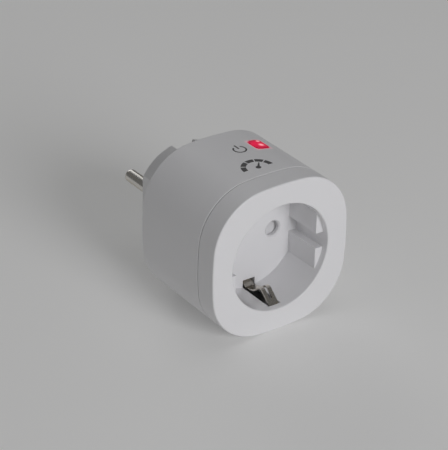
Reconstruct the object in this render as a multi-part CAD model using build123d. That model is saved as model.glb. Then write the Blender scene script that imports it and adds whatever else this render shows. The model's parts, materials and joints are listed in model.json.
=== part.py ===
from build123d import *
import os
from math import acos, degrees, radians, sin, sqrt

# A plug-in power meter: an adaptor with a side-earth plug on its back and a side-earth socket on its front.
# All sizes are millimetres. The origin is on the plug's axis, in the plane of the shoulder that rests on the
# wall plate. +Y points into the wall, -Y towards the user, +Z up (the button's side), +X to the user's right.

# ---- Driving dimensions ------------------------------------------------------------------------------

# Housing
body_width = 55.0
corner_radius = 20.0
side_bow = 0.25
wall = 2.0
front_y = -42.0
seam_y = -33.2
seam_gap = 0.3
front_edge_radius = 0.55
rear_edge_radius = 0.5
screw_circle = 25.0
boss_radius = 3.3
post_radius = 2.8
boss_end_y = -14.0

# Plug nose and its pins
nose_radius = 18.7
nose_length = 17.0
nose_wall = 1.8
nose_floor = 2.2
nose_flat_x = 16.0
channel_floor_z = 15.45
channel_width = 9.0
pin_spacing = 19.0
pin_radius = 2.4
pin_length = 19.0
pin_tip_round = 1.9
pin_root_radius = 2.1

# Socket well
well_radius = 19.5
well_depth = 17.5
well_wall = 1.7
well_floor = 1.8
hole_radius = 2.75
pad_flat_x = 16.3
pad_front_y = -39.4
pad_groove_width = 5.7
clip_slot_width = 5.0
clip_slot_front_y = -39.3

# Earth parts
earth_strip_width = 5.0
earth_strip_thickness = 0.8
clip_width = 3.8
clip_thickness = 0.6
clip_half_gap = 15.25
clip_slit_width = 1.05

# Shutter
shutter_travel = 5.8
shutter_thickness = 3.6
shutter_gap = 0.3
slider_low_z = -4.0
slider_high_z = 9.6
spring_seat_z = -13.9

# Button
button_x = 10.65
button_y = -13.4
button_width = 5.1
button_length = 6.9
button_corner = 1.6
button_clearance = 0.3
button_proud = 0.25
button_travel = 0.4
tact_y = -12.2

# Boards
board_thickness = 1.6
board_rear_y = -2.3
control_board_z = 18.3
control_board_thickness = 1.0
header_pin = 0.5
header_hole = 0.6
header_y = -5.9
header_z = 17.4
header_pitch = 2.0
header_count = 6

# Relay
relay_half_width = 5.1
relay_half_height = 9.2
relay_top_y = 12.9
coil_z = -3.0
hinge_y = 9.8
hinge_z = -7.9
contact_z = 6.2

# ---- Worked-out dimensions ---------------------------------------------------------------------------

half_body = body_width / 2
flat_half = half_body - corner_radius
side_radius = (flat_half ** 2 + side_bow ** 2) / (2 * side_bow)
side_centre = side_radius - half_body
side_angle = degrees(acos(side_centre / (side_radius - corner_radius) / sqrt(2))) - 45
corner_centre = (side_radius - corner_radius) * sin(radians(side_angle))
pin_x = pin_spacing / 2
well_floor_y = front_y + well_depth
floor_back_y = well_floor_y + well_floor
screw_offset = screw_circle / sqrt(2)
board_front_y = board_rear_y - board_thickness
shutter_front_y = floor_back_y + shutter_gap
shutter_back_y = shutter_front_y + shutter_thickness
carrier_front_y = shutter_back_y + shutter_gap
control_board_top = control_board_z + control_board_thickness
radio_top = control_board_top + 0.8
tact_top = control_board_top + 1.9
plunger_top = tact_top + 0.8
spring_y = shutter_front_y + 1.9
strip_y = (board_front_y - 0.5, board_front_y)
header_first_x = -header_pitch * (header_count - 1) / 2
header_columns = [header_first_x + header_pitch * index for index in range(header_count)]
corners = [(sx * screw_offset, sz * screw_offset) for sx in (-1, 1) for sz in (-1, 1)]


# ---- Shape helpers -----------------------------------------------------------------------------------

def block(x, y, z):
    """A box given by its (low, high) range along each axis."""
    ranges = (x, y, z)
    middle = [(low + high) / 2 for low, high in ranges]
    size = [high - low for low, high in ranges]
    return Pos(*middle) * Box(*size)


def about(middle, width):
    """The (low, high) range of a given width about a middle."""
    return (middle - width / 2, middle + width / 2)


def rod_y(x, z, radius, start, end):
    """A round rod along Y between two Y values."""
    return Pos(x, (start + end) / 2, z) * Rot(X=90) * Cylinder(radius, abs(end - start))


def rod_z(x, y, radius, start, end):
    """A round rod along Z between two Z values."""
    return Pos(x, y, (start + end) / 2) * Cylinder(radius, abs(end - start))


def rod_x(y, z, radius, start, end):
    """A round rod along X between two X values."""
    return Pos((start + end) / 2, y, z) * Rot(Y=90) * Cylinder(radius, abs(end - start))


def prism(outline, back, front):
    """An outline drawn in local X and Z, extruded from y = back towards the user to y = front."""
    return Pos(0, back, 0) * extrude(Plane.XZ * outline, amount=back - front)


def side_profile(points, x):
    """A closed outline of (y, z) points, extruded over a range of X."""
    low, high = x
    return Pos(low, 0, 0) * extrude(Plane.YZ * Polygon(*points, align=None), amount=high - low)


def bowed_square(inset=0.0):
    """The housing's section: round corners tangent to slightly bowed sides, drawn inside by an inset."""
    edges = []
    for quarter in range(4):
        turn = 90 * quarter
        side_from = Vector(-side_centre, 0).rotate(Axis.Z, turn)
        corner_from = Vector(corner_centre, corner_centre).rotate(Axis.Z, turn)
        edges.append(CenterArc(side_from, side_radius - inset, turn - side_angle, 2 * side_angle))
        edges.append(CenterArc(corner_from, corner_radius - inset, turn + side_angle, 90 - 2 * side_angle))
    return make_face(edges)


def bent_strip(points, radius, width, thickness, across):
    """A flat strip bent along a path of 3-D points, with its width along the across direction."""
    path = FilletPolyline(*points, radius=radius)
    section = Plane(origin=path @ 0, x_dir=across, z_dir=path % 0) * Rectangle(width, thickness)
    return sweep(section, path=path)


def rounded_block(x, y, z, radius, axis):
    """A block with its four edges along one axis rounded."""
    solid = block(x, y, z)
    return fillet(solid.edges().filter_by(axis), radius)


# ---- Housing -----------------------------------------------------------------------------------------

def nose_cavity():
    """The hollow of the plug nose, leaving a wall behind its side flats and earth channels."""
    side_wall_x = nose_flat_x - nose_wall
    channel_wall_z = channel_floor_z - nose_wall + 0.2
    channel_zone = channel_width + 2 * nose_wall
    section = Circle(nose_radius - nose_wall)
    for side in (-1, 1):
        section -= Pos(side * (side_wall_x + half_body / 2), 0) * Rectangle(half_body, body_width)
        section -= Pos(0, side * (channel_wall_z + half_body / 2)) * Rectangle(channel_zone, half_body)
    return prism(section, nose_length - nose_floor, -wall - 1)


def plug_nose():
    """The round plug nose with flat sides, which clear a socket's ribs, and the earth strips' channels."""
    tip_round = 1.0
    nose = rod_y(0, 0, nose_radius, -wall, nose_length)
    nose = fillet(nose.edges().group_by(Axis.Y)[-1], tip_round)
    for side in (-1, 1):
        flat_x = sorted((side * nose_flat_x, side * half_body))
        channel_z = sorted((side * channel_floor_z, side * half_body))
        nose -= block(flat_x, (0, nose_length + 1), about(0, body_width))
        nose -= block(about(0, channel_width), (0, nose_length + 1), channel_z)
    return nose


def button_opening(clearance, low, high):
    """A prism of the button's outline along Z, grown by a clearance."""
    outline = RectangleRounded(
        button_width + 2 * clearance, button_length + 2 * clearance, button_corner + clearance
    )
    return Pos(button_x, button_y, low) * extrude(outline, amount=high - low)


def rear_housing():
    """The main shell: side walls, shoulder, hollow plug nose and four screw bosses."""
    seam_round = 0.25
    boss_pocket_radius = 2.45
    boss_pocket_end = -7.0
    shank_hole_radius = 1.3
    front_end = seam_y + seam_gap / 2
    shell = prism(bowed_square(), 0, front_end)
    shell = fillet(shell.edges().group_by(Axis.Y)[-1], rear_edge_radius)
    shell = fillet(shell.edges().group_by(Axis.Y)[0], seam_round)
    shell -= prism(bowed_square(wall), -wall, front_end - 1)
    shell += plug_nose()
    for x, z in corners:
        shell += rod_y(x, z, boss_radius, -wall / 2, boss_end_y)
    shell -= nose_cavity()
    for x, z in corners:
        shell -= rod_y(x, z, boss_pocket_radius, 1, boss_pocket_end)
        shell -= rod_y(x, z, shank_hole_radius, 1, boss_end_y - 1)
    for side in (-1, 1):
        shell -= rod_y(side * pin_x, 0, pin_root_radius, 0, nose_length + 1)
        slot_z = sorted((side * channel_floor_z, side * (channel_floor_z + earth_strip_thickness + 0.1)))
        shell -= block(about(0, earth_strip_width + 0.4), (-wall - 1, 0), slot_z)
    shell -= button_opening(button_clearance, half_body - 2 * wall, half_body + 1)
    return shell


def well_cut():
    """The round hollow of the socket well, with a softened mouth."""
    mouth_round = 0.5
    hollow = rod_y(0, 0, well_radius, well_floor_y, front_y)
    mouth = rod_y(0, 0, well_radius + mouth_round, front_y + mouth_round, front_y - 1)
    ring = Pos(0, front_y + mouth_round, 0) * Rot(X=90) * Torus(well_radius + mouth_round, mouth_round)
    return hollow + (mouth - ring)


def guide_pads(side):
    """The two flat guide pads on one side of the well, with a groove between them."""
    edge_round = 0.25
    outer_radius = well_radius + well_wall / 2
    depth = (pad_front_y, well_floor_y + well_floor / 2)
    flat_x = sorted((side * pad_flat_x, side * outer_radius))
    pads = block(flat_x, depth, about(0, body_width)) & rod_y(0, 0, outer_radius, *depth)
    pads -= block(flat_x, depth, about(0, pad_groove_width))
    return fillet(pads.edges().filter_by(Axis.Z).group_by(Axis.Y)[0], edge_round)


def shutter_rails():
    """Two rails and a spring seat on the back of the well floor, which guide the shutter."""
    rail_x = 14.3
    rail_thickness = 1.2
    rail_z = (-13.0, 11.0)
    rail_end = shutter_back_y
    rails = block((rail_x, rail_x + rail_thickness), (floor_back_y - 1, rail_end), rail_z)
    rails += block((-rail_x - rail_thickness, -rail_x), (floor_back_y - 1, rail_end), rail_z)
    rails += block(about(0, 5.0), (floor_back_y - 1, rail_end), (spring_seat_z - 1.1, spring_seat_z))
    return rails


def front_cover():
    """The front cap: face plate, socket well with pads and slots, locating tongue and four screw posts."""
    cap_wall = 3.3
    face_thickness = 2.4
    tongue_inset = wall + 0.15
    tongue_end = seam_y + 3.7
    seam_round = 0.25
    pilot_radius = 1.1
    pilot_depth = 11.0
    countersink = 0.5
    rear_end = seam_y - seam_gap / 2
    cap = prism(bowed_square(), rear_end, front_y)
    cap = fillet(cap.edges().group_by(Axis.Y)[0], front_edge_radius)
    cap = fillet(cap.edges().group_by(Axis.Y)[-1], seam_round)
    cap += prism(bowed_square(tongue_inset), tongue_end, rear_end - 1)
    cap -= prism(bowed_square(cap_wall), tongue_end + 1, front_y + face_thickness)
    cap += rod_y(0, 0, well_radius + well_wall, front_y + face_thickness / 2, floor_back_y)
    for x, z in corners:
        cap += rod_y(x, z, post_radius, front_y + face_thickness / 2, boss_end_y - 0.2)
        cap -= rod_y(x, z, pilot_radius, boss_end_y + 1, boss_end_y - pilot_depth)
    cap -= well_cut()
    cap += shutter_rails()
    for side in (-1, 1):
        cap += guide_pads(side)
        slot_z = sorted((side * (clip_half_gap + 1.3), side * (well_radius + 2.5)))
        cap -= block(about(0, clip_slot_width), (clip_slot_front_y, floor_back_y + 0.1), slot_z)
        hole = rod_y(side * pin_x, 0, hole_radius, well_floor_y - 1, floor_back_y + 0.1)
        flare = Pos(side * pin_x, well_floor_y + countersink / 2, 0) * Rot(X=90) * Cone(
            hole_radius, hole_radius + countersink, countersink
        )
        cap -= hole + flare
    return cap


def housing_screws():
    """Four cross-recess screws from the rear bosses into the front posts."""
    head_radius = 2.2
    head_height = 1.6
    shank_radius = 1.1
    head_seat_y = -7.0
    shank_end_y = -23.0
    recess = 0.5
    screws = []
    for x, z in corners:
        screw = rod_y(x, z, head_radius, head_seat_y, head_seat_y + head_height)
        screw = fillet(screw.edges().group_by(Axis.Y)[-1], 0.5)
        screw += rod_y(x, z, shank_radius, head_seat_y + 0.1, shank_end_y)
        recess_y = (head_seat_y + head_height - 0.9, head_seat_y + head_height + 1)
        screw -= block(about(x, 2.4), recess_y, about(z, recess))
        screw -= block(about(x, recess), recess_y, about(z, 2.4))
        screws.append(screw)
    return Compound(children=screws)


# ---- Plug pins and earth path ------------------------------------------------------------------------

def plug_pin(side):
    """A round pin with a domed tip, a thinner root in the nose floor and a flange behind it."""
    flange_radius = 3.0
    flange_y = (12.2, 13.2)
    x = side * pin_x
    pin = rod_y(x, 0, pin_radius, nose_length, nose_length + pin_length)
    pin = fillet(pin.edges().group_by(Axis.Y)[-1], pin_tip_round)
    pin += rod_y(x, 0, pin_root_radius, flange_y[0], nose_length + 0.5)
    pin += rod_y(x, 0, flange_radius, *flange_y)
    return pin


def pin_carrier():
    """The insulating plate that locks both pins behind the nose floor."""
    plate = rounded_block((-13.4, 13.4), (13.2, nose_length - nose_floor), (-4.2, 4.2), 2.0, Axis.Y)
    for side in (-1, 1):
        plate -= rod_y(side * pin_x, 0, pin_root_radius, 10, nose_length)
    return plate


def pin_strap(side):
    """A bent strip from a pin's flange to the power board."""
    flange_y = 11.85
    leg_x = 13.6
    board_end_y = board_front_y - 0.6
    points = [(side * 7.2, flange_y, 0), (side * leg_x, flange_y, 0), (side * leg_x, board_end_y, 0)]
    return bent_strip(points, 0.8, 3.0, 0.7, (0, 0, 1))


def earth_strap(side):
    """The earth strip on one flat of the nose, running back inside the housing towards the clip."""
    nose_end_y = nose_length - 0.8
    inner_end_y = floor_back_y + 1.7
    low, high = sorted((side * channel_floor_z, side * (channel_floor_z + earth_strip_thickness)))
    strap = block(about(0, earth_strip_width), (inner_end_y, nose_end_y), (low, high))
    tip_edges = strap.edges().filter_by(Axis.Z).group_by(Axis.Y)[-1]
    return fillet(tip_edges, 1.2)


def earth_bridge():
    """The strip that goes round the contact carrier and joins the two earth straps."""
    middle_y = -10.0
    top_z = channel_floor_z + earth_strip_thickness + 0.35
    shoulder = (-10.0, top_z)
    waist = (-15.7, 11.0)
    points = [(2.3, top_z), shoulder, waist]
    points += [(x, -z) for x, z in reversed(points)]
    return bent_strip([(x, middle_y, z) for x, z in points], 1.0, 4.0, 0.7, (0, 1, 0))


def earth_clip(side):
    """A sprung earth clip: foot behind the floor, ramp, hump into the well, and a split front leg."""
    foot_z = 17.2
    recess_z = 19.4
    ramp_z = 17.9
    hump_z = clip_half_gap + clip_thickness / 2
    tip_z = 19.75
    slit_y = (-37.3, -32.4)
    points = [(-19.2, foot_z), (-22.0, foot_z), (-25.2, recess_z), (-30.0, ramp_z),
              (-32.8, hump_z), (-34.0, hump_z), (-38.9, tip_z)]
    clip = bent_strip([(0, y, side * z) for y, z in points], 1.1, clip_width, clip_thickness, (1, 0, 0))
    return clip - block(about(0, clip_slit_width), slit_y, sorted((0, side * half_body)))


# ---- Socket contacts and shutter ---------------------------------------------------------------------

def contact_carrier():
    """The insulating block that holds the two socket contacts behind the shutter."""
    pocket_radius = 4.3
    pocket_end_y = -5.2
    rear_y = -4.6
    carrier = rounded_block((-15.0, 15.0), (carrier_front_y, rear_y), (-6.4, 6.4), 1.5, Axis.Y)
    for side in (-1, 1):
        x = side * pin_x
        carrier -= rod_y(x, 0, pocket_radius, carrier_front_y - 1, pocket_end_y)
        carrier -= block(about(side * (pin_x + 2.9), 1.6), (pocket_end_y - 1, rear_y + 1), about(0, 3.4))
    carrier -= block(about(0, 6.0), (carrier_front_y - 1, -9.0), (-7, 7))
    return carrier


def socket_contact(side):
    """A tulip contact: a split sleeve that grips a 4.8 mm pin, with a tab to the power board."""
    inner_radius = 2.5
    outer_radius = 3.2
    mouth_y = carrier_front_y + 0.5
    slit_end_y = -10.0
    collar_y = -8.4
    x = side * pin_x
    sleeve = rod_y(x, 0, outer_radius, mouth_y, collar_y)
    tab_x = sorted((x + side * (inner_radius + 0.05), x + side * outer_radius))
    sleeve += block(tab_x, (collar_y - 1, board_front_y - 0.2), about(0, 3.0))
    sleeve -= rod_y(x, 0, inner_radius, mouth_y - 1, collar_y + 1)
    sleeve -= block(about(x, 1.2), (mouth_y - 1, slit_end_y), (-5, 5))
    return sleeve


def shutter_slider():
    """The child-safety slider: two ramped pads behind the pin holes, with openings just above them."""
    opening_radius = 3.0
    ramp_start_z = -2.9
    thickness_y = (shutter_front_y, shutter_back_y)
    slider = rounded_block((-14.0, 14.0), thickness_y, (slider_low_z, slider_high_z), 1.0, Axis.Y)
    for side in (-1, 1):
        x = side * pin_x
        slider -= rod_y(x, shutter_travel, opening_radius, shutter_front_y - 1, shutter_back_y + 1)
        ramp = [(shutter_front_y - 0.1, ramp_start_z), (shutter_back_y - 0.8, shutter_travel),
                (shutter_front_y - 0.1, shutter_travel)]
        slider -= side_profile(ramp, about(x, 2 * opening_radius))
    slider -= block(about(0, 7.0), (shutter_front_y - 1, shutter_back_y - 1.2), (2.0, 8.0))
    return slider


def shutter_spring():
    """The coil spring under the slider."""
    coil_radius = 1.15
    wire_radius = 0.2
    turns = 8
    low_z = spring_seat_z + wire_radius
    height = slider_low_z - wire_radius - low_z
    coil = Helix(pitch=height / turns, height=height, radius=coil_radius)
    wire = sweep(Plane(origin=coil @ 0, z_dir=coil % 0) * Circle(wire_radius), path=coil, is_frenet=True)
    return Pos(0, spring_y, low_z) * wire


# ---- Button and control board ------------------------------------------------------------------------

def button_cap():
    """The translucent button: its top follows the housing's surface, with a flange and a stem below."""
    flange_z = (22.4, 23.2)
    lip = 0.8
    top_round = 0.3
    stem_radius = 1.3
    outer = prism(bowed_square(-button_proud), 0, front_y)
    cap = button_opening(0, flange_z[1] - 0.1, half_body + 1) & outer
    cap = fillet(cap.faces().sort_by(Axis.Z)[-1].edges(), top_round)
    cap += button_opening(lip, *flange_z)
    cap += rod_z(button_x, tact_y, stem_radius, plunger_top, flange_z[0] + 0.2)
    return cap


def switch_plunger():
    """The small plunger of the tactile switch, which moves with the button."""
    return rod_z(button_x, tact_y, 0.9, tact_top - button_travel, plunger_top)


def tact_switch():
    """The tactile switch: a body with a hollow for its plunger, and four feet."""
    body = block(about(button_x, 4.0), about(tact_y, 3.6), (control_board_top, tact_top))
    body -= rod_z(button_x, tact_y, 1.0, tact_top - 1.2, tact_top + 1)
    for sx in (-1, 1):
        for sy in (-1, 1):
            foot_x = about(button_x + sx * 2.4, 0.8)
            body += block(foot_x, about(tact_y + sy * 1.2, 0.6), (control_board_top, control_board_top + 0.4))
    return body


def status_led():
    """The red light under the button: a small package with a domed lens."""
    led_y = button_y - 2.9
    body = block(about(button_x, 2.8), about(led_y, 2.0), (control_board_top, control_board_top + 1.0))
    dome = Pos(button_x, led_y, control_board_top + 0.9) * Sphere(0.8)
    return body + dome


def control_board():
    """The small board under the top wall that carries the switch, the light and the radio."""
    board = rounded_block(
        (-14.0, 14.0), (floor_back_y + 1.9, -4.6), (control_board_z, control_board_top), 1.0, Axis.Z
    )
    for x in header_columns:
        board -= header_hole_z(x)
    return board


def radio_board():
    """The radio module's own small board."""
    return block((-12.5, -0.5), (-20.4, -7.0), (control_board_top, radio_top))


def radio_shield():
    """The metal can over the radio chip."""
    can = rounded_block((-11.5, -1.5), (-16.6, -7.6), (radio_top, radio_top + 1.9), 0.6, Axis.Z)
    return fillet(can.edges().group_by(Axis.Z)[-1], 0.3)


def radio_antenna():
    """The meandering antenna strip at the module's front end."""
    line = 0.5
    pitch = 1.1
    turns = 9
    near_y = -17.4
    far_y = -19.9
    left_x = -11.2
    pieces = None
    for index in range(turns):
        x = left_x + index * pitch
        piece = block(about(x, line), (far_y, near_y), (radio_top, radio_top + 0.1))
        link_y = near_y if index % 2 == 0 else far_y
        if index < turns - 1:
            piece += block((x, x + pitch), about(link_y, line), (radio_top, radio_top + 0.1))
        pieces = piece if pieces is None else pieces + piece
    return pieces


def header_body():
    """The plastic strip of the pin header between the two boards."""
    body = block((-6.2, 6.2), about(header_y, 2.0), (header_z - 0.6, control_board_z))
    for x in header_columns:
        body -= block(about(x, header_hole), (header_y, header_y + 2), about(header_z, header_hole))
        body -= header_hole_z(x)
    return body


def header_hole_z(x):
    """The square hole along Z for one header pin."""
    return block(about(x, header_hole), about(header_y, header_hole), (header_z - 0.3, control_board_top + 1))


def header_pins():
    """Six bent header pins, from the control board down and back into the power board."""
    pins = []
    for x in header_columns:
        top = (x, header_y, control_board_top + 0.7)
        bend = (x, header_y, header_z)
        rear = (x, board_rear_y + 0.2, header_z)
        pins.append(bent_strip([top, bend, rear], 0.4, header_pin, header_pin, (1, 0, 0)))
    return Compound(children=pins)


# ---- Power board and its components ------------------------------------------------------------------

def power_board():
    """The main board against the rear wall, cut for the bosses, the earth straps and the tabs."""
    board = prism(bowed_square(2.9), board_rear_y, board_front_y)
    for x, z in corners:
        board -= rod_y(x, z, boss_radius + 0.3, 0, -6)
    for side in (-1, 1):
        slot_z = sorted((side * (channel_floor_z - 0.3), side * (channel_floor_z + 1.1)))
        board -= block(about(0, earth_strip_width + 0.6), (-6, 0), slot_z)
        board -= block(about(side * 13.6, 1.0), (-6, 0), about(0, 3.3))
        board -= block(about(side * (pin_x + 2.87), 0.9), (-6, 0), about(0, 3.2))
    for x in header_columns:
        board -= block(about(x, header_hole), (-6, 0), about(header_z, header_hole))
    board -= block(about(0, 3.4), (-6, 0), about(contact_z, 1.0))
    return board


def relay_case():
    """The relay's cover, open towards the board."""
    skin = 0.6
    outer_x = about(0, 2 * relay_half_width)
    outer_z = about(0, 2 * relay_half_height)
    case = rounded_block(outer_x, (board_rear_y, relay_top_y), outer_z, skin, Axis.Y)
    inner_x = about(0, 2 * (relay_half_width - skin))
    inner_z = about(0, 2 * (relay_half_height - skin))
    return case - block(inner_x, (board_rear_y - 1, relay_top_y - skin), inner_z)


def relay_frame():
    """The relay's iron yoke and core."""
    yoke = block((-3.5, 3.5), (-1.5, -0.5), (-8.3, 0.5))
    yoke += block((-3.5, 3.5), (-1.5, 9.5), (-8.3, -7.3))
    yoke += rod_y(0, coil_z, 1.5, -0.6, 9.3)
    return yoke


def relay_coil():
    """The wound bobbin on the relay's core."""
    bobbin = rod_y(0, coil_z, 3.9, -0.4, 0.3) + rod_y(0, coil_z, 3.9, 8.1, 8.8)
    bobbin += rod_y(0, coil_z, 3.4, 0.2, 8.2)
    return bobbin - rod_y(0, coil_z, 1.6, -1, 10)


def relay_armature():
    """The iron plate that the coil pulls down, rocking on the yoke's edge."""
    return block((-3.2, 3.2), (hinge_y, hinge_y + 0.8), (hinge_z - 0.3, 1.2))


def relay_contact_spring():
    """The springy copper strip on the armature, with the moving contact at its end."""
    strip = block((-1.6, 1.6), (hinge_y + 0.8, hinge_y + 1.1), (-6.0, 7.2))
    return strip + rod_y(0, contact_z, 1.2, hinge_y + 0.2, hinge_y + 0.9)


def relay_fixed_contact():
    """The fixed contact on its terminal, which goes through the board."""
    post = block((-1.6, 1.6), (board_front_y - 0.1, 8.2), (contact_z - 0.4, contact_z + 0.4))
    return post + rod_y(0, contact_z, 1.2, 8.1, 8.9)


def live_out_strip():
    """Heavy copper on the front of the power board, from the relay to the live socket contact."""
    strip = block((-1.6, pin_x + 3.2), strip_y, (7.0, 9.6))
    strip += block((pin_x + 1.2, pin_x + 3.2), strip_y, (1.6, 7.2))
    return strip + block((-1.6, 1.6), strip_y, (contact_z + 0.4, 7.2))


def neutral_link():
    """Heavy copper on the front of the power board, from the neutral pin to the neutral contact."""
    return block((-pin_x - 5.6, -pin_x - 1.2), strip_y, (1.7, 4.4))


def metering_shunt():
    """The bridge-shaped resistance strip that carries the load current."""
    x = -20.5
    low_z = 5.0
    high_z = 11.0
    crest_y = board_front_y - 2.6
    points = [(board_front_y, low_z), (crest_y, low_z), (crest_y, high_z), (board_front_y, high_z)]
    return bent_strip([(x, y, z) for y, z in points], 0.9, 3.0, 0.7, (1, 0, 0))


def leaded_chip(x, z, width, height, thickness, leads):
    """A flat chip on the front of the power board, with a row of leads on each long side."""
    back = board_front_y
    chip = block(about(x, width), (back - thickness, back - 0.1), about(z, height))
    pitch = height / leads
    for index in range(leads):
        lead_z = z - height / 2 + pitch * (index + 0.5)
        chip += block(about(x, width + 2.0), (back - 0.5, back), about(lead_z, pitch * 0.4))
    return chip


def upright_can(x, z, radius, start, end, bead):
    """A capacitor can along Y, with a bead groove near its board end and a rounded top."""
    can = rod_y(x, z, radius, start, end)
    toward = 1 if end > start else -1
    can -= rod_y(x, z, radius + 1, start + toward * 1.2, start + toward * 1.7) - rod_y(
        x, z, radius - bead, start, end
    )
    return can


def bulk_capacitor():
    """The large electrolytic capacitor on the front of the power board."""
    return upright_can(7.4, -10.9, 3.9, board_front_y, board_front_y - 12.0, 0.3)


def supply_capacitors():
    """Two small electrolytic capacitors in the plug nose."""
    cans = [upright_can(x, -8.6, 3.1, board_rear_y, board_rear_y + 11.0, 0.25) for x in (-9.3, 9.3)]
    return Compound(children=cans)


def mains_capacitor():
    """The boxed film capacitor across the mains."""
    box = rounded_block((-10.5, -1.5), (board_front_y - 10.5, board_front_y), (-14.4, -7.0), 0.5, Axis.Y)
    return fillet(box.edges().group_by(Axis.Y)[0], 0.4)


def disc_part(x, y, z, radius, thickness, lead_to):
    """A coated disc along X with two leads to the board."""
    disc = rod_x(y, z, radius, x - thickness / 2, x + thickness / 2)
    disc = fillet(disc.edges(), thickness * 0.3)
    for side in (-1, 1):
        disc += rod_y(x, z + side * radius * 0.55, 0.35, y, lead_to)
    return disc


def varistor():
    """The surge-protection disc."""
    return disc_part(-20.5, board_front_y - 6.2, -2.0, 4.4, 3.6, board_front_y)


def safety_capacitor():
    """The disc capacitor in the plug nose."""
    return disc_part(9.6, board_rear_y + 5.6, 8.4, 3.4, 3.0, board_rear_y)


def fuse_resistor():
    """The fusible resistor, lying along Z beside the live contact, with its two bent leads."""
    x = 20.5
    y = board_front_y - 3.0
    middle_z = 5.0
    half_length = 3.6
    lead_reach = 5.4
    body = rod_z(x, y, 1.7, middle_z - half_length, middle_z + half_length)
    body = fillet(body.edges(), 0.5)
    for side in (-1, 1):
        lead_z = middle_z + side * lead_reach
        inside_z = middle_z + side * (half_length - 1)
        lead = FilletPolyline((x, y, inside_z), (x, y, lead_z), (x, board_front_y, lead_z), radius=0.9)
        body += sweep(Plane(origin=lead @ 0, z_dir=lead % 0) * Circle(0.35), path=lead)
    return body


def supply_inductor():
    """The drum-core inductor of the power supply."""
    x, z = 20.5, -5.6
    front = board_front_y - 7.6
    drum = rod_y(x, z, 3.4, board_front_y, board_front_y - 1.2) + rod_y(x, z, 3.4, front, front + 1.2)
    return drum + rod_y(x, z, 2.8, board_front_y - 1, front + 1)


def suppression_choke():
    """The wound interference choke in the plug nose."""
    x, z = -9.3, 8.6
    top = board_rear_y + 9.0
    choke = rod_y(x, z, 3.1, board_rear_y, board_rear_y + 1.0) + rod_y(x, z, 3.1, top - 1.0, top)
    return choke + rod_y(x, z, 2.6, board_rear_y + 0.9, top - 0.9)


# ---- All nodes ---------------------------------------------------------------------------------------

parts = {
    "rear_housing": rear_housing(),
    "front_cover": front_cover(),
    "housing_screws": housing_screws(),
    "plug_pin_live": plug_pin(1),
    "plug_pin_neutral": plug_pin(-1),
    "pin_carrier": pin_carrier(),
    "live_pin_strap": pin_strap(1),
    "neutral_pin_strap": pin_strap(-1),
    "earth_strap_upper": earth_strap(1),
    "earth_strap_lower": earth_strap(-1),
    "earth_bridge": earth_bridge(),
    "earth_clip_upper": earth_clip(1),
    "earth_clip_lower": earth_clip(-1),
    "contact_carrier": contact_carrier(),
    "socket_contact_live": socket_contact(1),
    "socket_contact_neutral": socket_contact(-1),
    "shutter_slider": shutter_slider(),
    "shutter_spring": shutter_spring(),
    "button_cap": button_cap(),
    "switch_plunger": switch_plunger(),
    "tact_switch": tact_switch(),
    "status_led": status_led(),
    "control_board": control_board(),
    "radio_board": radio_board(),
    "radio_shield": radio_shield(),
    "radio_antenna": radio_antenna(),
    "header_body": header_body(),
    "header_pins": header_pins(),
    "power_board": power_board(),
    "relay_case": relay_case(),
    "relay_frame": relay_frame(),
    "relay_coil": relay_coil(),
    "relay_armature": relay_armature(),
    "relay_contact_spring": relay_contact_spring(),
    "relay_fixed_contact": relay_fixed_contact(),
    "live_out_strip": live_out_strip(),
    "neutral_link": neutral_link(),
    "metering_shunt": metering_shunt(),
    "metering_chip": leaded_chip(-20.6, -10.2, 3.9, 5.0, 1.6, 5),
    "bridge_rectifier": leaded_chip(20.6, -11.6, 3.8, 3.4, 1.8, 2),
    "bulk_capacitor": bulk_capacitor(),
    "supply_capacitors": supply_capacitors(),
    "mains_capacitor": mains_capacitor(),
    "safety_capacitor": safety_capacitor(),
    "varistor": varistor(),
    "fuse_resistor": fuse_resistor(),
    "supply_inductor": supply_inductor(),
    "suppression_choke": suppression_choke(),
}

os.makedirs("parts", exist_ok=True)
for name, shape in parts.items():
    export_step(shape, f"parts/{name}.step")
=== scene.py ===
import json
import math

import bmesh
import bpy
from mathutils import Matrix, Vector
from mathutils.bvhtree import BVHTree


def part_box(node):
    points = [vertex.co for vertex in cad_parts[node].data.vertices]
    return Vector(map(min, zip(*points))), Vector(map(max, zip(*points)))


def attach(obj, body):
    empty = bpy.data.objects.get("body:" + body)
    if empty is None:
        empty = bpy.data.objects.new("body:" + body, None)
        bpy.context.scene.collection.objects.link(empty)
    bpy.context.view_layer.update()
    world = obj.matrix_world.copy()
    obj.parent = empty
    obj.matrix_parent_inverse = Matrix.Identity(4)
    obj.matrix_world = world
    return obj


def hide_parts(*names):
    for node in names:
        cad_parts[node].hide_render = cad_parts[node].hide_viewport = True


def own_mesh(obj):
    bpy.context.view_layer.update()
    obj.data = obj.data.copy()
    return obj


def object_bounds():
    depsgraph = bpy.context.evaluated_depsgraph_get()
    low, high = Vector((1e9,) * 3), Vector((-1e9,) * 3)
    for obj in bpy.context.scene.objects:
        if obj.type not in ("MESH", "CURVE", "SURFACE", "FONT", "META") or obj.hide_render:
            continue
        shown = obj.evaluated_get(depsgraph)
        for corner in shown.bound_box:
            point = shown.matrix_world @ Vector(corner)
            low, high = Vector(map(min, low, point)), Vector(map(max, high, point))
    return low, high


# The looks of a plug-in power meter. Lengths are metres in the CAD frame unless a name ends in _mm.
# +Y points into the wall, -Y towards the user, +Z up. A texture's scale is about its cells per metre.

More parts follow.
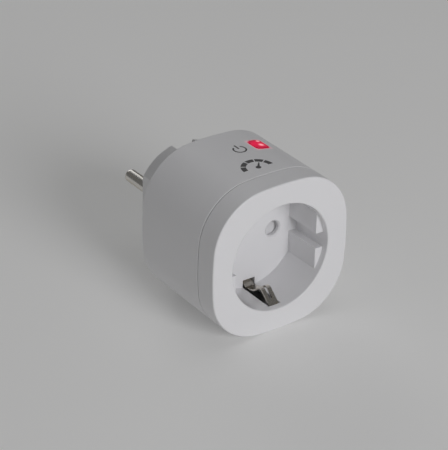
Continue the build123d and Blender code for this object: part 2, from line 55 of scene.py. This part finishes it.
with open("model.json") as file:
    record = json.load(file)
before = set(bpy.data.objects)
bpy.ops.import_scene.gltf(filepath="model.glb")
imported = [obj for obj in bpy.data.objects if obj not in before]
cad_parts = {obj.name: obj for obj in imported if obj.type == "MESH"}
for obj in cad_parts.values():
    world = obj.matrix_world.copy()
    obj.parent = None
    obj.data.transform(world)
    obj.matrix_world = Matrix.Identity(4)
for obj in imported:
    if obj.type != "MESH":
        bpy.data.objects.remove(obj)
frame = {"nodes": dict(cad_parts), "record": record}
cad_low, cad_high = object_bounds()
nodes = frame["nodes"]

MM = 0.001
WHITE = (1.0, 1.0, 1.0, 1.0)

# Most of a noise texture's values lie between these two.
NOISE_LOW = 0.3
NOISE_HIGH = 0.7

# The type of a Mix node's sockets for each kind of data it can mix.
MIX_SOCKETS = {"RGBA": "RGBA", "FLOAT": "VALUE"}


# ---- Node graph helper ---------------------------------------------------------------------------

class Graph:
    """One material and a short way to add and link its nodes."""

    def __init__(self, name):
        self.material = bpy.data.materials.new(name)
        self.material.use_nodes = True
        self.tree = self.material.node_tree
        self.shader = self.tree.nodes["Principled BSDF"]
        self.place = self.node("TexCoord").outputs["Object"]

    def node(self, kind, inputs=None, **settings):
        made = self.tree.nodes.new("ShaderNode" + kind)
        for key, value in settings.items():
            setattr(made, key, value)
        for key, value in (inputs or {}).items():
            self.feed(made.inputs[key], value)
        return made

    def feed(self, socket, value):
        """Links a socket to another node's output, or sets a constant directly on it."""
        if isinstance(value, bpy.types.NodeSocket):
            self.tree.links.new(value, socket)
        else:
            socket.default_value = value

    def set(self, **values):
        """Feeds the shader's sockets; an underscore stands for a space."""
        for key, value in values.items():
            self.feed(self.shader.inputs[key.replace("_", " ")], value)

    def stretch(self, scale):
        """The place, scaled differently along X, Y and Z."""
        return self.node("Mapping", {"Vector": self.place, "Scale": scale}).outputs["Vector"]

    def noise(self, scale, detail, roughness=0.5, place=None):
        inputs = {"Vector": place or self.place, "Scale": scale, "Detail": detail, "Roughness": roughness}
        return self.node("TexNoise", inputs).outputs["Fac"]

    def streaks(self, axis, lengthwise, crosswise, detail):
        """Noise with one scale along an axis and another across it."""
        scale = tuple(lengthwise if name == axis else crosswise for name in "XYZ")
        return self.noise(1.0, detail, place=self.stretch(scale))

    def remap(self, value, low, high, to_low, to_high):
        inputs = {"Value": value, "From Min": low, "From Max": high, "To Min": to_low, "To Max": to_high}
        return self.node("MapRange", inputs, clamp=True).outputs["Result"]

    def uneven(self, scale, detail, low, high):
        """A value that wanders from low to high over the surface."""
        return self.remap(self.noise(scale, detail), NOISE_LOW, NOISE_HIGH, low, high)

    def smooth_step(self, value, low, high):
        inputs = {"Value": value, "From Min": low, "From Max": high}
        return self.node("MapRange", inputs, interpolation_type="SMOOTHSTEP").outputs["Result"]

    def math(self, operation, a, b=0.0):
        return self.node("Math", {0: a, 1: b}, operation=operation).outputs["Value"]

    def mix(self, factor, a, b, kind="RGBA"):
        """Mixes two colours or, with the kind FLOAT, two numbers."""
        made = self.node("Mix", {"Factor": factor}, data_type=kind)
        for name, value in (("A", a), ("B", b)):
            socket = next(s for s in made.inputs if s.name == name and s.type == MIX_SOCKETS[kind])
            self.feed(socket, value)
        return next(s for s in made.outputs if s.type == MIX_SOCKETS[kind])

    def bump(self, height, distance, strength, normal=None):
        """A surface normal tilted by a height, on top of an earlier bump if there is one."""
        inputs = {"Height": height, "Distance": distance, "Strength": strength}
        if normal is not None:
            inputs["Normal"] = normal
        return self.node("Bump", inputs).outputs["Normal"]

    def axes(self):
        """The place's X, Y and Z."""
        split = self.node("SeparateXYZ", {"Vector": self.place})
        return split.outputs["X"], split.outputs["Y"], split.outputs["Z"]

    def radius_from_plug_axis(self):
        x, _, z = self.axes()
        squares = self.math("ADD", self.math("MULTIPLY", x, x), self.math("MULTIPLY", z, z))
        return self.math("SQRT", squares)

    def distance_in_plan(self, x, y):
        """The distance from an upright line through (x, y)."""
        flat = self.stretch((1.0, 1.0, 0.0))
        line = Vector((x, y, 0))
        return self.node("VectorMath", {0: flat, 1: line}, operation="DISTANCE").outputs["Value"]


def rgba(color, gain=1.0):
    return (color[0] * gain, color[1] * gain, color[2] * gain, 1.0)


# ---- Housing and plastics ------------------------------------------------------------------------

def painted_glow_round_button(g, low, high):
    """How much painted red glow the housing gets round the button: 1 at its edge, 0 further out."""
    reach = 1.3 * MM
    top_wall_z = 23.5 * MM
    x, y, z = g.axes()
    squares = 0.0
    for value, start, end in ((x, low.x, high.x), (y, low.y, high.y)):
        from_middle = g.math("ABSOLUTE", g.math("SUBTRACT", value, (start + end) / 2))
        beyond = g.math("MAXIMUM", g.math("SUBTRACT", from_middle, (end - start) / 2), 0.0)
        squares = g.math("ADD", squares, g.math("MULTIPLY", beyond, beyond))
    near = g.smooth_step(g.math("SQRT", squares), reach, 0.0)
    on_top = g.math("GREATER_THAN", z, top_wall_z)
    return g.math("MULTIPLY", near, on_top)


def polish_in_well(g):
    """1 on the polished inside of the socket well, 0 elsewhere, with a soft start behind the face."""
    well_radius = 19.75 * MM
    well_back_y = -24.0 * MM
    satin_until_y = -41.95 * MM
    polished_from_y = -41.6 * MM
    _, y, _ = g.axes()
    inside_wall = g.math("LESS_THAN", g.radius_from_plug_axis(), well_radius)
    in_front = g.math("LESS_THAN", y, well_back_y)
    behind_face = g.smooth_step(y, satin_until_y, polished_from_y)
    return g.math("MULTIPLY", g.math("MULTIPLY", inside_wall, in_front), behind_face)


def housing_plastic(button_low, button_high):
    """White moulding: fine spark-eroded satin outside, polished inside the socket well, with a painted
    red glow round the button.
    """
    darker = (0.79, 0.788, 0.80)
    lighter = (0.83, 0.828, 0.84)
    painted_red_glow = (1.0, 0.12, 0.22)
    painted_glow_strength = 0.16
    polished_grain = 0.06
    g = Graph("housing_white")
    g.set(Base_Color=g.mix(g.noise(scale=35.0, detail=4.0), rgba(darker), rgba(lighter)))
    polished = polish_in_well(g)
    satin = g.uneven(scale=600.0, detail=4.0, low=0.40, high=0.50)
    gloss = g.uneven(scale=260.0, detail=3.0, low=0.13, high=0.19)
    g.set(Roughness=g.mix(polished, satin, gloss, kind="FLOAT"))
    grain = g.noise(scale=5200.0, detail=2.0, roughness=0.6)
    grain_share = g.remap(polished, low=0.0, high=1.0, to_low=1.0, to_high=polished_grain)
    fine = g.bump(g.math("MULTIPLY", grain, grain_share), distance=0.02 * MM, strength=0.5)
    waviness = g.noise(scale=90.0, detail=2.0)
    g.set(Normal=g.bump(waviness, distance=0.05 * MM, strength=0.25, normal=fine))
    # Painted light: the white plastic glows red round the button, though it is no lamp.
    painted_glow = painted_glow_round_button(g, button_low, button_high)
    g.set(Emission_Color=rgba(painted_red_glow), Emission_Strength=g.math("MULTIPLY", painted_glow, painted_glow_strength))
    g.set(Subsurface_Weight=0.06, Subsurface_Radius=(0.9, 0.9, 1.0), Subsurface_Scale=0.6 * MM, IOR=1.5)
    return g.material


def moulded(name, color, roughness, coat=0.0):
    """A plain moulded plastic with uneven gloss, slight mottling and a fine grain."""
    unevenness = 0.07
    g = Graph(name)
    mottling = g.noise(scale=220.0, detail=4.0)
    g.set(Base_Color=g.mix(mottling, rgba(color, gain=0.9), rgba(color, gain=1.08)))
    g.set(Roughness=g.uneven(900.0, 3.0, low=roughness - unevenness, high=roughness + unevenness))
    g.set(Normal=g.bump(g.noise(scale=2600.0, detail=2.0), distance=0.02 * MM, strength=0.5))
    g.set(Coat_Weight=coat, Coat_Roughness=0.12)
    return g.material


def lens_box():
    """The box of the button's visible top, inside its hidden flange."""
    flange_lip = 0.8 * MM
    low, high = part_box("button_cap")
    lip = Vector((flange_lip, flange_lip, 0))
    return low + lip, high - lip


def light_spots(g, centre):
    """Two bright spots in the button, over the light: 1 at the middle of each and 0 outside them."""
    core = 0.25 * MM
    # Each spot's place from the button's centre, and its reach.
    spots_mm = (((1.15, 2.1), 0.95), ((0.4, -1.0), 1.35))
    spots = 0.0
    for (x_mm, y_mm), reach_mm in spots_mm:
        away = g.distance_in_plan(centre.x + x_mm * MM, centre.y + y_mm * MM)
        spots = g.math("MAXIMUM", spots, g.smooth_step(away, reach_mm * MM, core))
    return spots


def button_light(low, high):
    """Translucent button, lit red from below, with two brighter spots over the light and a darker rim."""
    plastic = (0.16, 0.002, 0.008)
    plastic_painted_lit = (0.30, 0.02, 0.03)
    deep = (0.66, 0.0, 0.052)
    rim = (0.40, 0.0, 0.035)
    hot = (1.0, 0.42, 0.46)
    rim_start = 1.7 * MM
    rim_end = 3.6 * MM
    centre = (low + high) / 2
    g = Graph("button_lens")
    spots = light_spots(g, centre)
    # Painted light: the plastic's own colour is lighter over the two bright spots.
    g.set(Base_Color=g.mix(spots, rgba(plastic), rgba(plastic_painted_lit)))
    rim_shade = g.smooth_step(g.distance_in_plan(centre.x, centre.y), rim_start, rim_end)
    g.set(Emission_Color=g.mix(spots, g.mix(rim_shade, rgba(deep), rgba(rim)), rgba(hot)))
    cloudiness = g.noise(scale=420.0, detail=3.0)
    g.set(Emission_Strength=g.remap(cloudiness, low=0.35, high=0.65, to_low=0.8, to_high=0.95))
    g.set(Roughness=g.uneven(scale=800.0, detail=2.0, low=0.30, high=0.42))
    g.set(Normal=g.bump(g.noise(scale=3000.0, detail=2.0), distance=0.01 * MM, strength=0.4))
    g.set(Coat_Weight=0.1, Coat_Roughness=0.3)
    return g.material


def printed_ink():
    """Dark grey pad-printed ink, slightly thin in places."""
    dark = (0.062, 0.060, 0.062)
    thin = (0.22, 0.22, 0.22)
    g = Graph("printed_ink")
    patches = g.noise(scale=2600.0, detail=4.0)
    thinness = g.remap(patches, low=0.35, high=0.75, to_low=0.0, to_high=0.25)
    g.set(Base_Color=g.mix(thinness, rgba(dark), rgba(thin)))
    g.set(Roughness=g.uneven(scale=1500.0, detail=3.0, low=0.45, high=0.6))
    g.set(Normal=g.bump(g.noise(scale=4000.0, detail=2.0), distance=0.01 * MM, strength=0.4))
    return g.material


# ---- Metals and boards ---------------------------------------------------------------------------

def metal(name, color, roughness, along, worn=None, wear=0.45):
    """A plated or bare metal, brushed along one axis, with worn streaks of a second colour."""
    smoother = 0.06
    rougher = 0.1
    g = Graph(name)
    brushing = g.streaks(along, lengthwise=60.0, crosswise=6000.0, detail=3.0)
    rubbing = g.streaks(along, lengthwise=30.0, crosswise=900.0, detail=3.0)
    rubbed = g.smooth_step(rubbing, low=0.56, high=0.68)
    toning = g.noise(scale=140.0, detail=3.0)
    toned = g.mix(toning, rgba(color, gain=0.9), rgba(color, gain=1.04))
    g.set(Base_Color=g.mix(g.math("MULTIPLY", rubbed, wear), toned, rgba(worn or color, gain=0.9)))
    g.set(Roughness=g.remap(brushing, NOISE_LOW, NOISE_HIGH, roughness - smoother, roughness + rougher))
    g.set(Normal=g.bump(brushing, distance=0.004 * MM, strength=0.6), Metallic=1.0)
    return g.material


def turned_pin():
    """Nickel-plated brass pin: fine turning rings, and lengthwise scrapes that show a little brass."""
    nickel = (0.72, 0.70, 0.66)
    brass = (0.70, 0.53, 0.27)
    brass_share = 0.35
    scrape_roughness = 0.5
    depth = 0.004 * MM
    g = Graph("pin_nickel")
    rings = g.streaks("Y", lengthwise=9000.0, crosswise=40.0, detail=2.0)
    scratching = g.streaks("Y", lengthwise=45.0, crosswise=1500.0, detail=3.0)
    scrapes = g.smooth_step(scratching, low=0.57, high=0.66)
    toning = g.noise(scale=180.0, detail=3.0)
    toned = g.mix(toning, rgba(nickel, gain=0.92), rgba(nickel, gain=1.05))
    g.set(Base_Color=g.mix(g.math("MULTIPLY", scrapes, brass_share), toned, rgba(brass)))
    marks = g.math("ADD", rings, g.math("MULTIPLY", scrapes, scrape_roughness))
    g.set(Roughness=g.remap(marks, low=0.3, high=1.2, to_low=0.16, to_high=0.36))
    ringed = g.bump(rings, depth, strength=0.5)
    g.set(Normal=g.bump(scrapes, depth, strength=-0.5, normal=ringed), Metallic=1.0)
    return g.material


def circuit_board(name, mask, trace):
    """Solder mask over copper tracks, with a woven glass ground."""
    weave_depth = 0.2
    g = Graph(name)
    grid = g.stretch((260.0, 260.0, 260.0))
    tracks = g.node("TexBrick", {"Vector": grid, "Scale": 1.0, "Mortar Size": 0.08}).outputs["Fac"]
    weave = g.node("TexWave", {"Vector": g.place, "Scale": 900.0, "Distortion": 0.5}).outputs["Fac"]
    shade = g.math("MULTIPLY", weave, weave_depth)
    ground = g.mix(shade, rgba(mask, gain=0.9), rgba(mask, gain=1.2))
    g.set(Base_Color=g.mix(tracks, ground, rgba(trace)))
    g.set(Roughness=g.uneven(scale=500.0, detail=3.0, low=0.28, high=0.4))
    g.set(Normal=g.bump(tracks, distance=0.03 * MM, strength=0.6))
    return g.material


def winding(name, color, along):
    """Enamelled wire laid in turns along an axis, with painted shade in the grooves between turns."""
    g = Graph(name)
    inputs = {"Vector": g.place, "Scale": 800.0, "Distortion": 0.2}
    turns = g.node("TexWave", inputs, bands_direction=along).outputs["Fac"]
    # Painted shade: the colour darkens towards the grooves between turns.
    g.set(Base_Color=g.mix(turns, rgba(color, gain=0.45), rgba(color, gain=1.1)))
    g.set(Roughness=g.uneven(scale=700.0, detail=2.0, low=0.22, high=0.34))
    g.set(Normal=g.bump(turns, distance=0.08 * MM, strength=0.8), Metallic=0.7)
    return g.material


# ---- Materials of the CAD nodes ------------------------------------------------------------------

def seen_materials():
    """The materials that show from outside or through the openings, by the record's slot."""
    nickel = (0.62, 0.59, 0.54)
    brass = (0.78, 0.60, 0.30)
    zinc = (0.62, 0.62, 0.60)
    lens_low, lens_high = lens_box()
    return {
        "shell_white": housing_plastic(lens_low, lens_high),
        "button_lens": button_light(lens_low, lens_high),
        "pin_nickel": turned_pin(),
        "earth_nickel": metal("earth_nickel", nickel, roughness=0.2, along="Y", worn=brass, wear=0.25),
        "contact_brass": metal("contact_brass", brass, roughness=0.28, along="Y"),
        "carrier_grey": moulded("carrier_grey", (0.42, 0.43, 0.45), roughness=0.45),
        "shutter_white": moulded("shutter_white", (0.72, 0.72, 0.73), roughness=0.35),
        "screw_steel": metal("screw_zinc", zinc, roughness=0.3, along="Y"),
    }


def inside_metals():
    """The metals inside the housing, by slot."""
    return {
        "copper": metal("bare_copper", (0.80, 0.45, 0.30), roughness=0.3, along="Z"),
        "spring_steel": metal("spring_steel", (0.56, 0.57, 0.58), roughness=0.25, along="Z"),
        "shield_tin": metal("shield_tin", (0.66, 0.66, 0.66), roughness=0.32, along="X"),
        "header_tin": metal("header_tin", (0.70, 0.67, 0.60), roughness=0.3, along="Y"),
        "relay_iron": metal("relay_iron", (0.50, 0.50, 0.51), roughness=0.4, along="Y"),
        "coil_copper": winding("coil_copper", (0.52, 0.16, 0.07), along="Y"),
        "shunt_alloy": metal("shunt_alloy", (0.52, 0.45, 0.38), roughness=0.36, along="Z"),
    }


def inside_plastics():
    """The boards and the coated or moulded parts inside the housing, by slot."""
    return {
        "board_green": circuit_board("board_green", mask=(0.012, 0.11, 0.05), trace=(0.05, 0.22, 0.10)),
        "radio_mask": circuit_board("radio_mask", mask=(0.012, 0.02, 0.05), trace=(0.05, 0.07, 0.12)),
        "component_black": moulded("component_black", (0.018, 0.018, 0.019), roughness=0.5),
        "switch_grey": moulded("switch_grey", (0.10, 0.10, 0.10), roughness=0.4),
        "led_lens": moulded("led_lens", (0.60, 0.02, 0.03), roughness=0.15, coat=0.6),
        "relay_blue": moulded("relay_blue", (0.02, 0.07, 0.24), roughness=0.3, coat=0.3),
        "can_sleeve": moulded("can_sleeve", (0.02, 0.025, 0.05), roughness=0.25, coat=0.4),
        "film_yellow": moulded("film_yellow", (0.62, 0.40, 0.04), roughness=0.3, coat=0.3),
        "disc_blue": moulded("disc_blue", (0.03, 0.10, 0.34), roughness=0.3, coat=0.4),
        "resistor_tan": moulded("resistor_tan", (0.34, 0.25, 0.15), roughness=0.5),
    }


def paint_cad():
    """Gives every CAD node its material, and returns the materials by slot."""
    by_slot = {**seen_materials(), **inside_metals(), **inside_plastics()}
    for part in frame["record"]["subparts"]:
        nodes[part["node"]].data.materials[0] = by_slot[part["material_slot"]]
    return by_slot


def add_object(name, mesh, material):
    """Turns a finished bmesh into an object of the scene."""
    data = bpy.data.meshes.new(name)
    mesh.to_mesh(data)
    mesh.free()
    data.materials.append(material)
    made = bpy.data.objects.new(name, data)
    bpy.context.scene.collection.objects.link(made)
    return made


# ---- Printed marks -------------------------------------------------------------------------------

def surface_under(node):
    """A function giving the height of a node's outer surface at (x, y)."""
    well_above = 1.0
    down = Vector((0, 0, -1))
    mesh = nodes[node].data
    corners = [vertex.co.copy() for vertex in mesh.vertices]
    tree = BVHTree.FromPolygons(corners, [tuple(polygon.vertices) for polygon in mesh.polygons])

    def height(x, y):
        hit, *_ = tree.ray_cast(Vector((x, y, well_above)), down)
        return hit.z

    return height


def ring_band(centre, inner, outer, start, end, steps):
    """A band of a ring, as rows of (inner, outer) points between two angles in degrees."""
    rows = []
    for index in range(steps + 1):
        angle = math.radians(start + (end - start) * index / steps)
        direction = Vector((math.cos(angle), math.sin(angle)))
        rows.append((centre + direction * inner, centre + direction * outer))
    return rows


def bar(start, end, start_width, end_width):
    """A straight bar, as rows of points across it, which may taper."""
    steps = 6
    along = end - start
    across = Vector((-along.y, along.x)).normalized() / 2
    rows = []
    for index in range(steps + 1):
        share = index / steps
        half = across * (start_width + (end_width - start_width) * share)
        rows.append((start + along * share + half, start + along * share - half))
    return rows


def add_ink(mesh, rows, height):
    """Adds one thin closed sheet of ink that follows the surface, from its rows of points."""
    proud = 0.015 * MM
    sunk = 0.02 * MM
    top, bottom = (
        [[mesh.verts.new((p.x, p.y, height(p.x, p.y) + lift)) for p in pair] for pair in rows]
        for lift in (proud, -sunk)
    )
    for a, b, c, d in zip(top, top[1:], bottom, bottom[1:]):
        mesh.faces.new((a[0], a[1], b[1], b[0]))
        mesh.faces.new((c[0], d[0], d[1], c[1]))
        mesh.faces.new((a[0], b[0], d[0], c[0]))
        mesh.faces.new((a[1], c[1], d[1], b[1]))
    for a, c in ((top[0], bottom[0]), (top[-1], bottom[-1])):
        mesh.faces.new((a[0], c[0], c[1], a[1]))


def ink_piece(name, bands, height, material):
    """One printed mark, made of bands of ink."""
    mesh = bmesh.new()
    for rows in bands:
        add_ink(mesh, rows, height)
    bmesh.ops.recalc_face_normals(mesh, faces=mesh.faces)
    piece = add_object(name, mesh, material)
    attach(piece, "root")


def power_symbol(height, material):
    """The on-off symbol beside the button: a broken ring with a bar towards the wall."""
    centre = Vector((2.5, -13.9)) * MM
    radius = 2.2 * MM
    line = 0.56 * MM
    half_gap_degrees = 34
    gap_middle_degrees = 90
    stem_start = 0.5 * MM
    stem_end = 3.3 * MM
    start = gap_middle_degrees + half_gap_degrees
    end = gap_middle_degrees + 360 - half_gap_degrees
    ring = ring_band(centre, radius - line / 2, radius + line / 2, start, end, steps=40)
    stem = bar(centre + Vector((0, stem_start)), centre + Vector((0, stem_end)), line, line)
    ink_piece("power_symbol", [ring, stem], height, material)


def meter_symbol(height, material):
    """A generic dial pictogram: a segmented arc, a tapering needle and its hub."""
    centre = Vector((0.0, -27.9)) * MM
    inner = 4.1 * MM
    outer = 5.9 * MM
    segments = 5
    arc_degrees = 180
    gap_degrees = 5
    needle_angle = math.radians(52)
    needle_length = 3.6 * MM
    needle_width = 1.0 * MM
    tip_width = 0.3 * MM
    hub_hole = 0.02 * MM
    hub_radius = 0.95 * MM
    span = (arc_degrees - gap_degrees * (segments - 1)) / segments
    bands = []
    for index in range(segments):
        start = index * (span + gap_degrees)
        bands.append(ring_band(centre, inner, outer, start, start + span, steps=8))
    tip = centre + Vector((math.cos(needle_angle), math.sin(needle_angle))) * needle_length
    bands.append(bar(centre, tip, needle_width, tip_width))
    bands.append(ring_band(centre, hub_hole, hub_radius, 0, 360, steps=24))
    ink_piece("meter_symbol", bands, height, material)


# ---- Shutter spring ------------------------------------------------------------------------------

def outward(turn):
    """The direction from a coil's axis to its wire after a number of turns."""
    return Vector((math.cos(math.tau * turn), math.sin(math.tau * turn), 0))


def coil_rise(turn, turns, height, end_rise):
    """How far the wire has risen after a number of turns; the first and last turns are closed."""
    if turn < 1:
        return end_rise * turn
    if turn > turns - 1:
        return height - end_rise * (turns - turn)
    return end_rise + (height - 2 * end_rise) * (turn - 1) / (turns - 2)


def wire_rings(wire_centre, wire_radius, turns):
    """Rings of points round a coil's wire, from a function giving its centre after a number of turns."""
    steps_per_turn = 24
    sides = 10
    tiny_turn = 0.001
    rings = []
    for step in range(turns * steps_per_turn + 1):
        turn = step / steps_per_turn
        along = (wire_centre(turn + tiny_turn) - wire_centre(turn - tiny_turn)).normalized()
        side = outward(turn)
        up = along.cross(side)
        ring = []
        for corner in range(sides):
            angle = math.tau * corner / sides
            offset = side * math.cos(angle) + up * math.sin(angle)
            ring.append(wire_centre(turn) + offset * wire_radius)
        rings.append(ring)
    return rings


def tube(rings):
    """A bmesh of a tube through rings of points, closed at both ends."""
    mesh = bmesh.new()
    loops = [[mesh.verts.new(point) for point in ring] for ring in rings]
    for loop, following in zip(loops, loops[1:]):
        for corner in range(len(loop)):
            beside = (corner + 1) % len(loop)
            mesh.faces.new((loop[corner], loop[beside], following[beside], following[corner]))
    mesh.faces.new(loops[0])
    mesh.faces.new(loops[-1])
    bmesh.ops.recalc_face_normals(mesh, faces=mesh.faces)
    return mesh


def shutter_spring(material):
    """The spring under the shutter, with closed end coils."""
    wire_radius = 0.2 * MM
    turns = 9
    end_rise = 2.1 * wire_radius
    low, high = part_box("shutter_spring")
    middle = (low + high) / 2
    coil_radius = (high.x - low.x) / 2 - wire_radius
    height = high.z - low.z - 2 * wire_radius

    def wire_centre(turn):
        rise = coil_rise(turn, turns, height, end_rise)
        on_axis = Vector((middle.x, middle.y, low.z + wire_radius + rise))
        return on_axis + outward(turn) * coil_radius

    piece = add_object("shutter_coil", tube(wire_rings(wire_centre, wire_radius, turns)), material)
    piece.data.shade_smooth()
    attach(piece, "root")
    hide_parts("shutter_spring")
    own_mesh(piece)


# ---- Stage, light and camera ---------------------------------------------------------------------

def floor_material():
    """The plain pale floor: matt, with no gloss, and faintly lit from within to keep its shadows soft."""
    darker = (0.80, 0.80, 0.79)
    lighter = (0.84, 0.84, 0.83)
    g = Graph("floor_pale")
    g.set(Base_Color=g.mix(g.noise(scale=6.0, detail=3.0), rgba(darker), rgba(lighter)))
    g.set(Roughness=g.uneven(scale=40.0, detail=3.0, low=0.6, high=0.75))
    g.set(Emission_Color=WHITE, Emission_Strength=0.09, Specular_IOR_Level=0.0)
    return g.material


def make_floor(level):
    half_side = 3.0
    mesh = bmesh.new()
    bmesh.ops.create_grid(mesh, x_segments=8, y_segments=8, size=half_side)
    floor = add_object("floor", mesh, floor_material())
    floor.location.z = level


def area_light(name, place, size, power, color=(1.0, 1.0, 1.0)):
    """A round softbox that faces the housing."""
    aim = Vector((0, -0.02, 0))
    light = bpy.data.lights.new(name, "AREA")
    light.shape = "DISK"
    light.size = size
    light.energy = power
    light.color = color
    lamp = bpy.data.objects.new(name, light)
    lamp.location = place
    lamp.rotation_euler = (aim - Vector(place)).to_track_quat("-Z", "Y").to_euler()
    bpy.context.scene.collection.objects.link(lamp)


def make_lights():
    area_light("key", place=(-0.05, -1.45, 0.55), size=0.7, power=10.0, color=(0.985, 0.98, 1.0))
    area_light("top", place=(0.1, -0.1, 1.5), size=1.2, power=2.1)
    area_light("back", place=(0.35, 1.35, 0.6), size=0.9, power=2.0)
    world = bpy.data.worlds.new("studio")
    world.use_nodes = True
    background = world.node_tree.nodes["Background"]
    background.inputs["Color"].default_value = WHITE
    background.inputs["Strength"].default_value = 0.135
    bpy.context.scene.world = world


def make_camera():
    """A long lens, above and to the left of the front face."""
    azimuth = math.radians(-35.95)
    elevation = math.radians(28.84)
    roll = math.radians(1.34)
    aim = Vector((-8.19, -20.68, 4.97)) * MM
    distance = 643.35 * MM
    back = Vector((
        math.sin(azimuth) * math.cos(elevation),
        -math.cos(azimuth) * math.cos(elevation),
        math.sin(elevation),
    ))
    data = bpy.data.cameras.new("camera")
    data.sensor_width = 36.0
    data.lens = 154.0
    data.clip_start = 0.01
    data.clip_end = 20.0
    camera = bpy.data.objects.new("camera", data)
    turn = (-back).to_track_quat("-Z", "Y").to_matrix().to_4x4()
    camera.matrix_world = Matrix.Translation(aim + back * distance) @ turn @ Matrix.Rotation(roll, 4, "Z")
    bpy.context.scene.collection.objects.link(camera)
    bpy.context.scene.camera = camera


# ---- The scene -----------------------------------------------------------------------------------

make_camera()
make_lights()
make_floor(cad_low.z)

materials = paint_cad()
shutter_spring(materials["spring_steel"])

height_on_top = surface_under("rear_housing")
ink = printed_ink()
power_symbol(height_on_top, ink)
meter_symbol(height_on_top, ink)

bpy.context.scene.view_settings.view_transform = "Standard"
